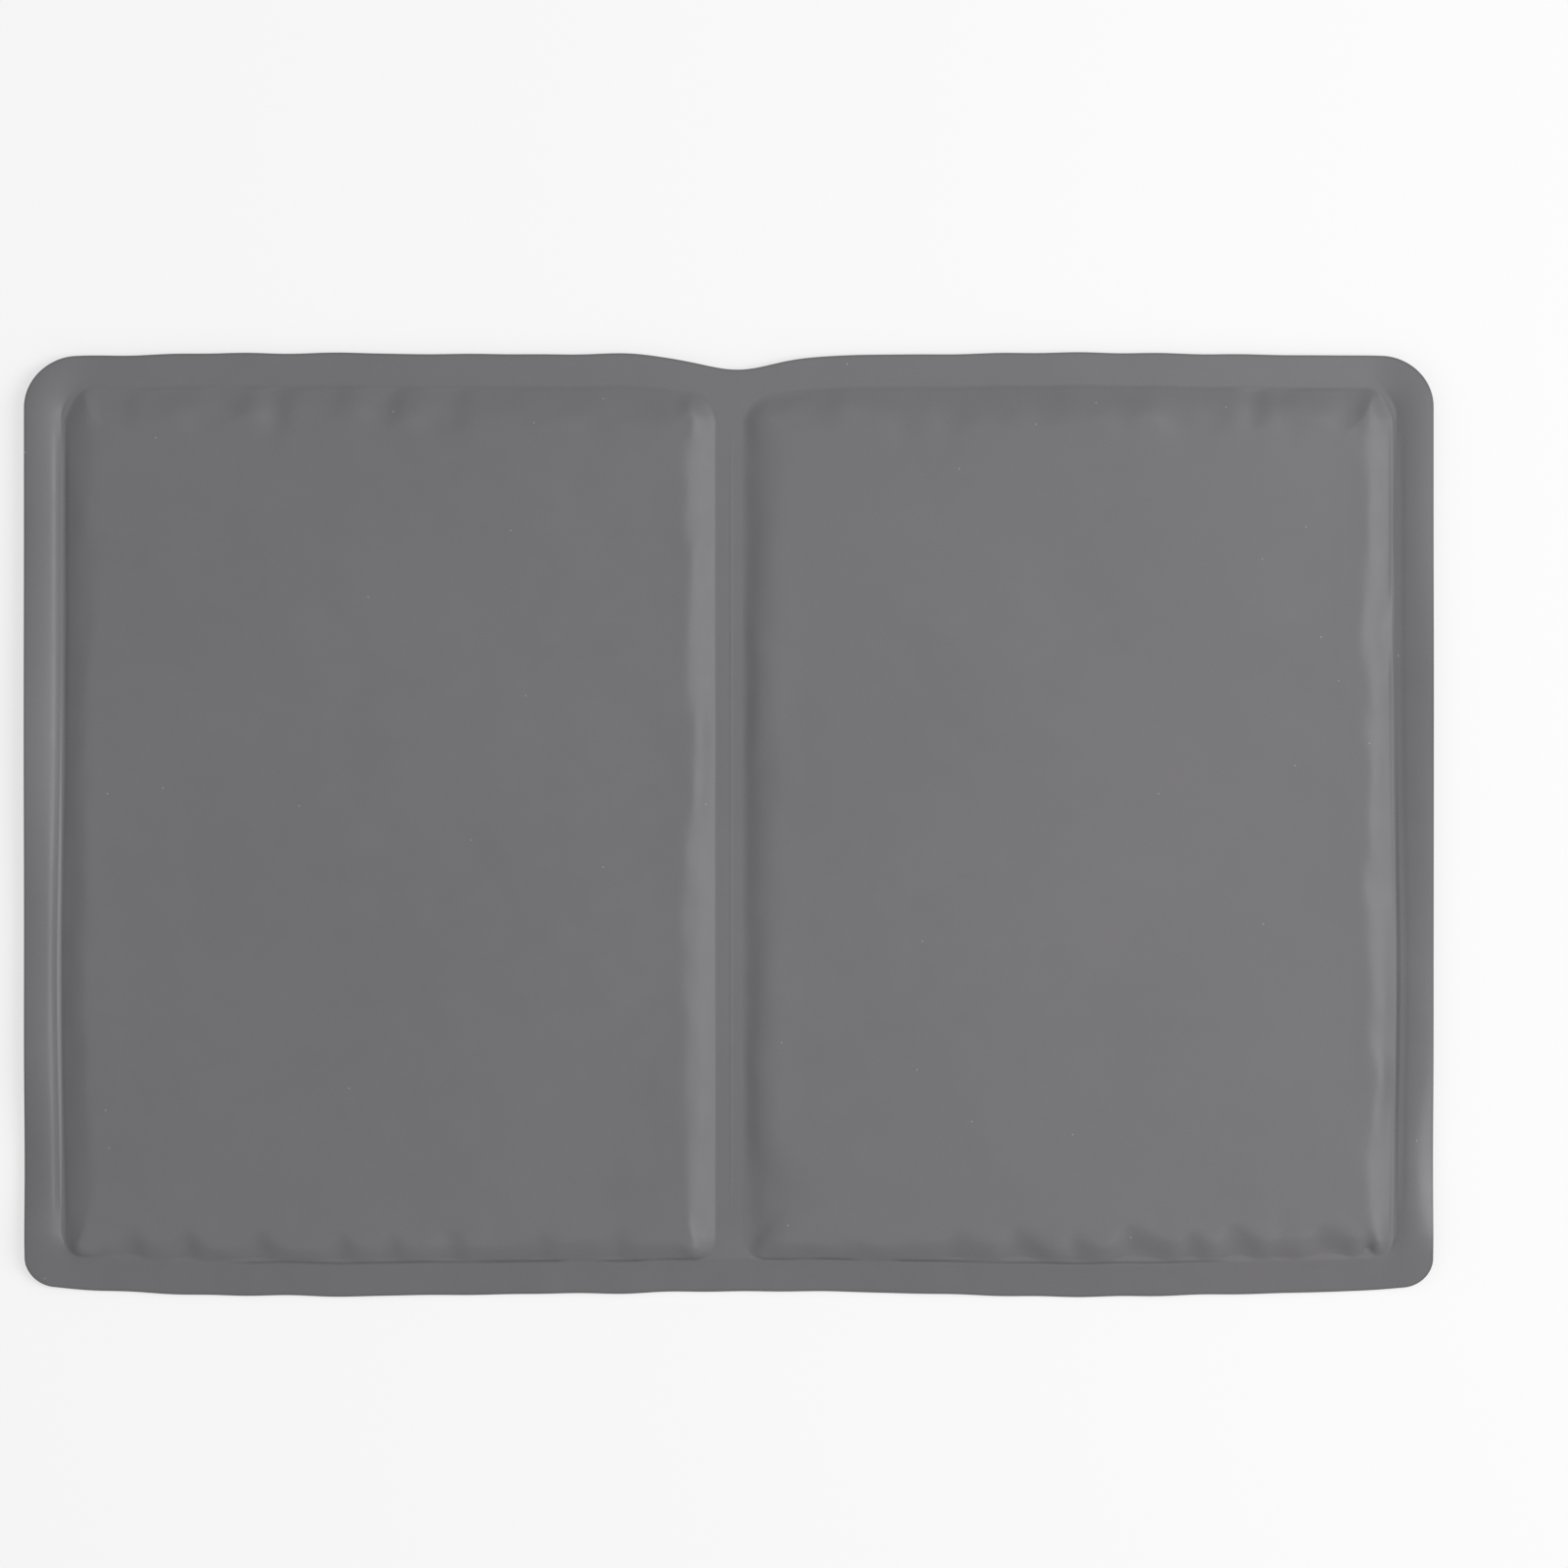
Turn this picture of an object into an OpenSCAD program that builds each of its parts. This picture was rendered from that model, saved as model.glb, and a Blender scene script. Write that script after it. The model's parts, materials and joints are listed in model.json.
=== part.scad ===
// Folding gel cooling pad: two gel-filled panels with a welded rim, joined by a welded fold band.
// Each panel is a sandwich: cover sheet, gel layer, foam core, gel layer, cover sheet.
// Millimetres. +X runs across both panels, +Y to the back edge, +Z up.
// The origin is at the middle of the fold, on the plane that the pad rests on.

/* [Pad] */
// Overall width across both panels
pad_w = 600; // [480:5:760]
// Overall depth from the front edge to the back edge
pad_d = 400; // [300:5:560]

/* [Cover sheets] */
// Thickness of one coated fabric sheet
sheet_t = 0.4; // [0.3:0.05:0.8]
// Width of the welded rim at the two outer ends
end_rim = 17; // [10:0.5:26]
// Width of the welded rim along the front and back edges
long_rim = 14; // [10:0.5:26]
// Radius of the two outer corners at the back
back_corner_r = 20; // [6:0.5:28]
// Radius of the two outer corners at the front
front_corner_r = 12; // [6:0.5:28]
// How far the back edge comes in at its outer corners
back_bow = 2; // [0:0.5:8]
// How far the front edge comes in at its outer corners
front_bow = 3; // [0:0.5:8]
// Distance from the fold at which the front and back edges start to come in
bow_start = 140; // [60:5:200]

/* [Chambers] */
// Rise of each sheet from the weld to the flat of its chamber
loft = 4.3; // [2.5:0.1:8]
// Width of the rounded shoulder between the weld and the flat
shoulder = 13; // [9:0.5:22]
// Corner radius of the weld line round a chamber
weld_corner_r = 8; // [4:0.5:16]
// Corner radius of the flat of a chamber
flat_corner_r = 14; // [6:0.5:24]

/* [Fold] */
// Gap left between the two panels when one is folded flat onto the other
folded_gap = 0.8; // [0.4:0.1:3]
// Clearance between the rounded edge of the fold band and a panel
crease_gap = 0.2; // [0.1:0.05:0.5]
// Width of the flat welded lip between a crease and its chamber
crease_lip = 0.8; // [0.4:0.1:3]
// How far the back edge is drawn in at the fold
back_dip = 7; // [0:0.5:10]
// How far the front edge is drawn in at the fold
front_dip = 3; // [0:0.5:10]
// Distance from the fold over which the edges are drawn in
dip_reach = 32; // [15:1:60]

/* [Filling] */
// Thickness of the foam core
foam_t = 4; // [2:0.1:4.4]
// Width of the gel border round the foam core, inside the flat of the chamber
gel_border = 10; // [6:0.5:20]
// Clearance of the gel to the sheets, and of the foam to the gel round it
fill_gap = 0.2; // [0.1:0.05:0.4]

/* [Hidden] */

// Height of the plane where the two sheets are welded together
weld_z = loft + sheet_t;
// The band spans the two upper halves that meet in the fold, so the pad folds flat either way
fold_w = 2 * (loft + sheet_t) + folded_gap;
// The creases are the axes of the fold: the band's edges are rounded about them
crease_x = fold_w / 2;
// A panel starts clear of the band's rounded edge
panel_x = crease_x + sheet_t + crease_gap;
half_w = pad_w / 2;
half_d = pad_d / 2;
// A panel's corners at the crease are rounded within the lip
lip_corner_r = crease_lip / 2;

// Shares of the shoulder, from the weld at 0 to the flat at 1, where a section of the loft is taken
shoulder_steps = [0.2, 0.4, 0.6, 0.8, 1];
// The gel stops at the first of them, where the chamber is deep enough to hold it
gel_edge = shoulder_steps[0];
// Straight steps in a quarter turn of an outline
corner_steps = 7;
// Points of an outline along a front or back edge, between its corners
edge_steps = 8;
// Sides of a full turn at the rounded edges of the fold band
crease_sides = 48;

cover_colour = [0.46, 0.46, 0.47];
gel_colour = [0.55, 0.75, 0.85];
foam_colour = [0.93, 0.9, 0.78];

// How far a point of the plan is drawn in towards the pad's middle line: at the fold, where the
// pull fades with the distance from it, and towards the outer corners, as a square of the way
// there. Both grow with the cube of the distance from the middle line.
function drawn_in(p) =
    let (dip = p.y > 0 ? back_dip : front_dip,
         bow = p.y > 0 ? back_bow : front_bow,
         outward = max(abs(p.x) - bow_start, 0) / (half_w - bow_start))
    (dip * exp(-pow(p.x / dip_reach, 2)) + bow * pow(outward, 2)) * pow(p.y / half_d, 3);

// A plan outline set at a height, with the pull of the fold
function ring(outline, z) = [for (p = outline) [p.x, p.y - drawn_in(p), z]];

// A quarter turn about a centre, starting at an angle
function corner(x, y, r, start) = [
    for (i = [0:corner_steps])
        let (a = start + 90 * i / corner_steps)
        [x + r * cos(a), y + r * sin(a)]
];

// Points between two ends of a long edge, crowded towards the end at the fold
function edge_points(x_fold, x_far, y) = [
    for (i = [1:edge_steps])
        [x_fold + (x_far - x_fold) * pow(i / (edge_steps + 1), 2), y]
];

// Points of a list in the opposite order
function reversed(list) = [for (i = [len(list) - 1:-1:0]) list[i]];

// Plan outline of the right panel, anticlockwise, between two X and two Y limits
function panel_outline(x0, x1, y0, y1, fold_r, front_r, back_r) = concat(
    corner(x0 + fold_r, y0 + fold_r, fold_r, 180),
    edge_points(x0 + fold_r, x1 - front_r, y0),
    corner(x1 - front_r, y0 + front_r, front_r, 270),
    corner(x1 - back_r, y1 - back_r, back_r, 0),
    reversed(edge_points(x0 + fold_r, x1 - back_r, y1)),
    corner(x0 + fold_r, y1 - fold_r, fold_r, 90)
);

// The cut edge of a sheet
rim_outline = panel_outline(
    panel_x, half_w, -half_d, half_d, lip_corner_r, front_corner_r, back_corner_r);

// The chamber's outline at a share of its shoulder, from the weld to the flat
function chamber_outline(share) =
    let (inset = shoulder * share,
         r = weld_corner_r + (flat_corner_r - weld_corner_r) * share)
    panel_outline(
        panel_x + crease_lip + inset, half_w - end_rim - inset,
        -half_d + long_rim + inset, half_d - long_rim - inset, r, r, r);

// The foam core's outline, grown by a clearance
function foam_outline(grown) =
    let (inset = shoulder + gel_border - grown)
    panel_outline(
        panel_x + crease_lip + inset, half_w - end_rim - inset,
        -half_d + long_rim + inset, half_d - long_rim - inset,
        flat_corner_r, flat_corner_r, flat_corner_r);

// Rise of a sheet above the weld: a quarter sine, steep at the weld and level at the flat
function rise(share) = loft * sin(90 * share);

// Sections of a sheet at shares of its shoulder, lifted or lowered as a whole
function shoulder_rings(shares, lifted) =
    [for (share = shares) ring(chamber_outline(share), rise(share) + lifted)];

// Closed solid through rings of the same number of points, with both ends capped.
// The rings run anticlockwise seen from the side that the first cap faces.
module loft_through(rings) {
    n = len(rings[0]);
    last = (len(rings) - 1) * n;
    walls = [
        for (start = [0:n:last - n], i = [0:n - 1])
            let (a = start + i, b = start + (i + 1) % n)
            each [[a, b, a + n], [b, b + n, a + n]]
    ];
    caps = [[for (i = [n - 1:-1:0]) i], [for (i = [0:n - 1]) last + i]];
    polyhedron([for (r = rings) each r], concat(walls, caps));
}

// Upper sheet of the right panel, lying on the weld plane: flat, shoulder, lip and rim
module cover_sheet() {
    shares = concat([0], shoulder_steps);
    color(cover_colour)
        loft_through(concat(
            reversed(shoulder_rings(shares, sheet_t)),
            [ring(rim_outline, sheet_t), ring(rim_outline, 0)],
            shoulder_rings(shares, 0)
        ));
}

// Gel between the upper sheet and the foam of the right panel, down to the weld plane,
// with a pocket for the upper half of the foam
module gel_layer() {
    color(gel_colour)
        loft_through(concat(
            reversed(shoulder_rings(shoulder_steps, -fill_gap)),
            [ring(chamber_outline(gel_edge), 0)],
            [for (z = [0, foam_t / 2]) [for (p = foam_outline(fill_gap)) [p.x, p.y, z]]]
        ));
}

// Open-cell foam slab at the middle of the right panel, half above the weld plane
module foam_core() {
    color(foam_colour)
        translate([0, 0, -foam_t / 2])
            linear_extrude(foam_t)
                polygon(foam_outline(0));
}

// Upper strip of the fold band, on the weld plane, with its long edges rounded about the creases
module fold_web() {
    back_y = half_d - back_dip;
    front_y = front_dip - half_d;
    color(cover_colour)
        translate([0, back_y, 0])
            rotate([90, 0, 0])
                linear_extrude(back_y - front_y) {
                    translate([-crease_x, 0])
                        square([fold_w, sheet_t]);
                    for (side = [-1, 1])
                        intersection() {
                            translate([side * crease_x, 0])
                                circle(sheet_t, $fn = crease_sides);
                            translate([side * crease_x - sheet_t, 0])
                                square(2 * sheet_t);
                        }
                }
}

// Lifts a piece of the upper right quarter to the weld plane, turned over for a lower
// piece and mirrored across the fold for a left one
module placed(lower = false, left = false) {
    translate([0, 0, weld_z])
        mirror([left ? 1 : 0, 0, 0])
            mirror([0, 0, lower ? 1 : 0])
                children();
}

placed(left = true) cover_sheet();  // upper_cover_left
placed() cover_sheet();  // upper_cover_right
placed(lower = true, left = true) cover_sheet();  // lower_cover_left
placed(lower = true) cover_sheet();  // lower_cover_right
placed() fold_web();  // upper_fold_web
placed(lower = true) fold_web();  // lower_fold_web
placed(left = true) gel_layer();  // upper_gel_left
placed() gel_layer();  // upper_gel_right
placed(lower = true, left = true) gel_layer();  // lower_gel_left
placed(lower = true) gel_layer();  // lower_gel_right
placed(left = true) foam_core();  // foam_core_left
placed() foam_core();  // foam_core_right
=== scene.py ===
"""Folding gel cooling pad: simulated cover sheets, filling, materials, light and camera."""
import json
import math

import bpy
import numpy as np
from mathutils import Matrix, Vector


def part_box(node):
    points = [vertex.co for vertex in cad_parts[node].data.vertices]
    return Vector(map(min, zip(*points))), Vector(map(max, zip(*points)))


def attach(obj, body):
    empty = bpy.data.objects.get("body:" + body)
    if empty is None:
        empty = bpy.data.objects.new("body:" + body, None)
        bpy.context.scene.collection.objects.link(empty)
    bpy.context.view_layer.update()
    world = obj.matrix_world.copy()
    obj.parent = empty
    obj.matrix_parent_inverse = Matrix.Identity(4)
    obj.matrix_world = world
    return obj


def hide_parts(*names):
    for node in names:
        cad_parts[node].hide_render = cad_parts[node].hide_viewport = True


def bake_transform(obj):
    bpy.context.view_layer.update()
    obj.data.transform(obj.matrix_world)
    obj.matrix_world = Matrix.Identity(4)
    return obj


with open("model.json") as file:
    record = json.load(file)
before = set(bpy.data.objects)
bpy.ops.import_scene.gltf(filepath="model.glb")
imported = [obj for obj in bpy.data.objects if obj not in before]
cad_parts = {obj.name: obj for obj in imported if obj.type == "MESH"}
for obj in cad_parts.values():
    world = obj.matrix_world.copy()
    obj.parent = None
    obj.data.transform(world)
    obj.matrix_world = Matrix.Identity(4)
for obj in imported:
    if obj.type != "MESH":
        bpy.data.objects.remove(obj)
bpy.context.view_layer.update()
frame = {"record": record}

MM = 0.001

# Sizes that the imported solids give
creases = {joint["name"]: joint["pos_m"] for joint in frame["record"]["behaviour"]["joints"]}
CREASE_X, _, WELD_Z = creases["right_crease"]
HALF_W, HALF_D, TOP_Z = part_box("upper_cover_right")[1]
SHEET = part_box("upper_fold_web")[1][2] - WELD_Z
RISE = TOP_Z - WELD_Z - SHEET

# Plan of a cover sheet
END_RIM = 15.6 * MM
LONG_RIM = 14 * MM
BACK_CORNER = 21.5 * MM
FRONT_CORNER = 12 * MM
FOLD_LIP = 0.5 * MM
FOLD_WELD = CREASE_X + FOLD_LIP
END_WELD = HALF_W - END_RIM
LONG_WELD = HALF_D - LONG_RIM
MID_PANEL = (FOLD_WELD + END_WELD) / 2

# Corner radii of a chamber's weld line, at the back and front of its fold side and its outer end
FOLD_BACK_CORNER = 12 * MM
FOLD_FRONT_CORNER = 10 * MM
END_BACK_CORNER = 4 * MM
END_FRONT_CORNER = 8 * MM

# At its back corner the end weld comes in by this much, over a length, with a power of the way
TAPER = 7 * MM
TAPER_LENGTH = 14 * MM
TAPER_POWER = 1.3
# The end weld comes in this far, but for a stretch where it bows out to its full width
END_DRAWN = 1.6 * MM
END_FULL_AT = -65 * MM
END_FULL_REACH = 70 * MM

# Run of the shoulder from the weld to the flat, on each side of a chamber
RUNS = {"fold": 15 * MM, "end": 14.5 * MM, "front": 8 * MM, "back": 23 * MM}
# Share of the run that climbs straight before it rounds over
STRAIGHT = 0.3
# The sheet leaves the weld in a bend of about this length
FOOT = 0.7 * MM
# Shares and lengths of the waves in which the run widens and narrows
RUN_WAVES = ((0.14, 70 * MM), (0.12, 26 * MM))
# Added to the distance from a side in its weight, which keeps the weight finite
SIDE_REACH = 2 * MM
# The right chamber's fold shoulder starts level, takes this share of its rise in a soft step that is
# steepest at twice this distance from the weld, and the rest over a long run
SOFT_STEP = 0.75
SOFT_FOLD = 2.2 * MM
SOFT_RUN = 40 * MM
# It goes on round the corner and along the back, and fades out up to this distance from the fold
SOFT_BACK_END = 32 * MM
SOFT_BACK_FADE = 20 * MM
# Near a chamber's corners its front and back shoulders are short by this share, so its side
# shoulders run on to the weld
CORNER_REACH = 18 * MM
CORNER_BLEND = 8 * MM
CORNER_SHORTER = 0.5
# The right chamber lies slack at its front corner by the fold, where its shoulder runs out wider
SLACK_CORNER_Y = -138 * MM
SLACK_CORNER_REACH = 28 * MM
SLACK_CORNER_WIDER = 2.6

# The front and back edges come in at the fold and towards the outer corners, and swell between them.
# The front edge lies a little further out all along, and both wave slightly
BACK_DIP = 6.6 * MM
FRONT_DIP = 1.2 * MM
DIP_AT = 3 * MM
BACK_DIP_REACH = 24 * MM
FRONT_DIP_REACH = 60 * MM
BOW_AT = 222 * MM
BACK_BOW = 1.4 * MM
FRONT_BOW = 3.8 * MM
FRONT_OUT = 1 * MM
BACK_SWELL = 0.5 * MM
FRONT_SWELL = 1 * MM
SWELL_AT = 150 * MM
SWELL_REACH = 60 * MM
EDGE_WAVE = 0.25 * MM
EDGE_WAVE_LENGTH = 45 * MM
EDGE_SEED = 5

# A fold's half width before and after its middle, as shares of its given one
SKEW_BEFORE = 1.0
SKEW_AFTER = 2.0

# Half the gap between the two sheets where they are welded together
WELD_GAP = 0.03 * MM
# Added to a sum of squares that is divided by
TINY = 1e-12
# The waves of a ripple are between these shares of its wave number
WAVE_SPREAD = (0.7, 1.4)
# A step that is over a whole number of times by less than this counts as whole
ROUNDING = 1e-6


def ripple(x, y, length, seed, waves=7):
    """Smooth waves between about -1 and 1: the mean of sines of about one wave length, each at a
    random heading and phase, times the root of their number."""
    draw = np.random.default_rng(seed)
    heading = draw.uniform(0, 2 * np.pi, waves)
    number = 2 * np.pi / length * draw.uniform(*WAVE_SPREAD, waves)
    phase = draw.uniform(0, 2 * np.pi, waves)
    across = x[..., None] * np.cos(heading) + y[..., None] * np.sin(heading)
    return np.sin(across * number + phase).mean(-1) * math.sqrt(waves)


def ripples(x, y, layers, seed):
    """Sum of ripples, each with a share and a wave length, on seeds that count up from the first."""
    return sum(share * ripple(x, y, length, seed + i) for i, (share, length) in enumerate(layers))


def eased(share):
    """Smooth step from 0 to 1 over a share of 0 to 1: three squares less two cubes."""
    share = np.clip(share, 0, 1)
    return share * share * (3 - 2 * share)


def bell(distance, width):
    """Bell curve of height 1: e to the power of minus the square of distance over width."""
    return np.exp(-((distance / width) ** 2))


def skewed(distance, width):
    """Bell curve that is steeper before its middle than after it."""
    return bell(distance, width * np.where(distance > 0, SKEW_AFTER, SKEW_BEFORE))


def kept_under(height, limit, soft):
    """The lesser of a height and a limit, with the corner where they meet rounded over a soft span:
    the two are mixed in proportion, less the span times the product of their shares."""
    share = np.clip(0.5 + 0.5 * (limit - height) / soft, 0, 1)
    return height * share + limit * (1 - share) - soft * share * (1 - share)


def grid_lines(start, *runs):
    """Grid lines from start through each run's end, in even steps no wider than the run's step."""
    lines = [np.array([start])]
    for end, step in runs:
        count = max(1, math.ceil((end - lines[-1][-1]) / step - ROUNDING))
        lines.append(np.linspace(lines[-1][-1], end, count + 1)[1:])
    return np.concatenate(lines)


def corner_rounded(x, y, corner, way, radius):
    """The square of one radius at a plan corner pressed into a quarter disc: each share of the
    square, across and along, is shortened by the root of one less half the other's square. The way
    is the sign of x and of y from the square towards its corner."""
    across = np.clip(1 + way[0] * (x - corner[0]) / radius, 0, 1)
    along = np.clip(1 + way[1] * (y - corner[1]) / radius, 0, 1)
    x = x + way[0] * radius * across * (np.sqrt(1 - along**2 / 2) - 1)
    y = y + way[1] * radius * along * (np.sqrt(1 - across**2 / 2) - 1)
    return x, y


def inside_distance(x, y, low, high, radius):
    """Distance inside a rounded rectangle, negative outside it: the radius less the length of the
    way past its corner centres, and less the nearer side's depth where a point lies within them."""
    past_x = np.abs(x - (low[0] + high[0]) / 2) - (high[0] - low[0]) / 2 + radius
    past_y = np.abs(y - (low[1] + high[1]) / 2) - (high[1] - low[1]) / 2 + radius
    outside = np.hypot(np.maximum(past_x, 0), np.maximum(past_y, 0))
    return radius - outside - np.minimum(np.maximum(past_x, past_y), 0)


def drawn_in(x, y):
    """How far a plan point moves in towards the middle line: a bell at the fold, the square of the
    way along the outer quarter of a panel and a slight wave, less a wide bell at the panel's middle
    and, at the front, a constant, times the cube of the share of the half depth."""
    bow = np.square((np.abs(x) - BOW_AT) / (HALF_W - BOW_AT)) * (np.abs(x) > BOW_AT)
    swell = bell(np.abs(x) - SWELL_AT, SWELL_REACH)
    back = BACK_DIP * bell(x - DIP_AT, BACK_DIP_REACH) + BACK_BOW * bow - BACK_SWELL * swell
    front = FRONT_DIP * bell(x - DIP_AT, FRONT_DIP_REACH) + FRONT_BOW * bow - FRONT_SWELL * swell
    front -= FRONT_OUT
    wave = EDGE_WAVE * (1 + ripple(x, 0 * x, EDGE_WAVE_LENGTH, EDGE_SEED))
    return (np.where(y > 0, back, front) + wave) * (y / HALF_D) ** 3


def inside_weld(x, y):
    """Distance inside the weld line of a chamber, whose corners have radii of their own, and whose
    end comes in towards the back by a power of the share of a length, and by one less a bell."""
    across = np.abs(x)
    taper = TAPER * np.clip((y - LONG_WELD) / TAPER_LENGTH + 1, 0, 1) ** TAPER_POWER
    drawn = END_DRAWN * (1 - bell(y - END_FULL_AT, END_FULL_REACH))
    across = np.where(across > MID_PANEL, across + taper + drawn, across)
    at_back = np.where(across > MID_PANEL, END_BACK_CORNER, FOLD_BACK_CORNER)
    at_front = np.where(across > MID_PANEL, END_FRONT_CORNER, FOLD_FRONT_CORNER)
    radius = np.where(y > 0, at_back, at_front)
    return inside_distance(across, y, (FOLD_WELD, -LONG_WELD), (END_WELD, LONG_WELD), radius)


def from_sides(x, y):
    """For each side of a chamber: the distance in from it, the place along it, and its weight, which
    falls with the fourth power of the distance, so that a corner passes from one side to the next."""
    across = np.abs(x)
    depth = {
        "fold": across - FOLD_WELD, "end": END_WELD - across,
        "front": y + LONG_WELD, "back": LONG_WELD - y,
    }
    along = {"fold": y, "end": y, "front": across, "back": across}
    weight = {side: (np.maximum(deep, 0) + SIDE_REACH) ** -4.0 for side, deep in depth.items()}
    total = sum(weight.values())
    return depth, along, {side: value / total for side, value in weight.items()}


def slack_corner(y):
    """1 at the slack corner of the right chamber, fading to 0 along the fold."""
    return eased((SLACK_CORNER_Y - y) / SLACK_CORNER_REACH)


def shoulder(share):
    """Rise over the shoulder, 0 to 1: straight up to STRAIGHT, then a parabola that ends level."""
    share = np.clip(share, 0, 1)
    steep = 2 / (1 + STRAIGHT)
    over = np.maximum(share - STRAIGHT, 0)
    return steep * (share - over * over / (2 * (1 - STRAIGHT)))


def put_mesh(name, points, faces, sharp=math.radians(40)):
    """A named object of the given points and faces, smooth but for edges sharper than an angle."""
    mesh = bpy.data.meshes.new(name)
    mesh.from_pydata(points, [], faces)
    mesh.shade_smooth()
    mesh.set_sharp_from_angle(angle=sharp)
    piece = bpy.data.objects.new(name, mesh)
    bpy.context.scene.collection.objects.link(piece)
    return piece


def grid_faces(index):
    """Quads between the neighbours of a grid of point numbers, facing up."""
    quads = np.stack([index[:-1, :-1], index[1:, :-1], index[1:, 1:], index[:-1, 1:]], -1)
    return quads.reshape(-1, 4)


def closed_between(name, x, y, upper, lower):
    """Closed solid between two heights over one plan grid: the upper face, the lower face turned
    over, and a wall of one quad's height along the four edges."""
    count = x.size
    index = np.arange(count).reshape(x.shape)
    over = grid_faces(index)
    ring = np.concatenate([index[:-1, 0], index[-1, :-1], index[:0:-1, -1], index[0, :0:-1]])
    ahead = np.roll(ring, -1)
    wall = np.stack([ring + count, ahead + count, ahead, ring], -1)
    faces = np.concatenate([over, over[:, ::-1] + count, wall])
    points = np.concatenate(
        [np.stack([x, y, height], -1).reshape(-1, 3) for height in (upper, lower)]
    )
    return put_mesh(name, points, faces)


# The cloth simulation
# The solver is made for garments, so a sheet is simulated at this many times its size
CLOTH_SCALE = 10
CLOTH_FRAMES = 30
# The most that a slack stretch of sheet is longer than its place
MOST_SLACK = 0.012
CLOTH = {
    "quality": 8, "mass": 0.15, "air_damping": 1,
    "tension_stiffness": 40, "compression_stiffness": 40, "shear_stiffness": 20, "bending_stiffness": 8,
    "tension_damping": 2, "compression_damping": 2, "shear_damping": 2, "bending_damping": 0.5,
    "use_pressure": True, "uniform_pressure_force": 1,
}
# Weights are written in this many even steps
WEIGHT_STEPS = 20
# Steps of the cloth's grid: fine across the panel and in a band along the front and the back
CLOTH_STEP = 3 * MM
CLOTH_WIDE_STEP = 10 * MM
CLOTH_BAND = 36 * MM
CLOTH_X = grid_lines(FOLD_WELD, (END_WELD, CLOTH_STEP))
CLOTH_Y = grid_lines(
    -LONG_WELD,
    (CLOTH_BAND - LONG_WELD, CLOTH_STEP),
    (LONG_WELD - CLOTH_BAND, CLOTH_WIDE_STEP),
    (LONG_WELD, CLOTH_STEP),
)
# The cloth is held within this distance of its weld, and on the flat from another one on
HELD_WELD = 0.1 * MM
HELD_FLAT = 16 * MM
HELD_REACH = 12 * MM


def weigh(piece, name, weights):
    """A vertex group of weights in even steps, filled one step at a time."""
    group = piece.vertex_groups.new(name=name)
    steps = np.round(weights.ravel() * WEIGHT_STEPS).astype(int)
    for step in range(1, WEIGHT_STEPS + 1):
        group.add(np.nonzero(steps == step)[0].tolist(), step / WEIGHT_STEPS, "REPLACE")


def relaxed(x, y, height, held, slack):
    """Heights of a sheet after a cloth simulation. It is held at its weld and on its flat, its
    springs are longer than the sheet by a share of slack, and a light pressure lifts it."""
    points = np.stack([x, y, height], -1).reshape(-1, 3) * CLOTH_SCALE
    cloth = put_mesh("cloth", points, grid_faces(np.arange(x.size).reshape(x.shape)))
    weigh(cloth, "held", held)
    weigh(cloth, "taut", 1 - slack)
    modifier = cloth.modifiers.new("cloth", "CLOTH")
    for key, value in CLOTH.items():
        setattr(modifier.settings, key, value)
    modifier.settings.vertex_group_mass = "held"
    modifier.settings.vertex_group_shrink = "taut"
    modifier.settings.shrink_min = -MOST_SLACK
    modifier.settings.effector_weights.gravity = 0
    modifier.collision_settings.use_collision = False
    modifier.point_cache.frame_end = CLOTH_FRAMES
    for step in range(1, CLOTH_FRAMES + 1):
        bpy.context.scene.frame_set(step)
    result = cloth.evaluated_get(bpy.context.evaluated_depsgraph_get()).data
    moved = np.zeros(x.size * 3, np.float32)
    result.vertices.foreach_get("co", moved)
    mesh = cloth.data
    bpy.data.objects.remove(cloth)
    bpy.data.meshes.remove(mesh)
    bpy.context.scene.frame_set(1)
    return moved.reshape(*x.shape, 3)[..., 2] / CLOTH_SCALE


def between(values, x, y):
    """Values of the cloth's grid at other points: cubic B-splines over the four nearest lines."""
    def spline(at, lines):
        place = np.interp(at, lines, np.arange(len(lines)))
        first = np.clip(np.floor(place).astype(int), 1, len(lines) - 3)
        t = np.clip(place - first, 0, 1)
        weights = (1 - t) ** 3, 3 * t**3 - 6 * t**2 + 4, 1 + 3 * (t + t**2 - t**3), t**3
        return [(first + step - 1, weight / 6) for step, weight in enumerate(weights)]
    along = spline(y, CLOTH_Y)
    return sum(u * v * values[i, j] for i, u in spline(x, CLOTH_X) for j, v in along)


# A fold is pressed into the cloth at this many times its depth before it is simulated, and is
# deepest at a distance from the weld
FOLD_START = 2.5
FOLD_PEAK = 4 * MM
# The shoulder runs further in at a fold, by this much for each metre of its depth, and wider than it
PULL = 600
PULL_WIDER = 1.2
# Slack is full up to a distance from the weld, and fades out over another
SLACK_FULL = 8 * MM
SLACK_FADE = 16 * MM
# The simulated relief comes in over this distance from the weld, and more on a soft shoulder
RELIEF_START = 2 * MM
RELIEF_SOFT_START = 10 * MM
# The sheet rounds into its flat over this height. The waves of the flat come in at about this
# distance from the weld, with shares and lengths of their own
FLAT_SOFT = 0.4 * MM
FLAT_START = 14 * MM
FLAT_WAVES = ((0.75, 110 * MM), (0.25, 38 * MM))


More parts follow.
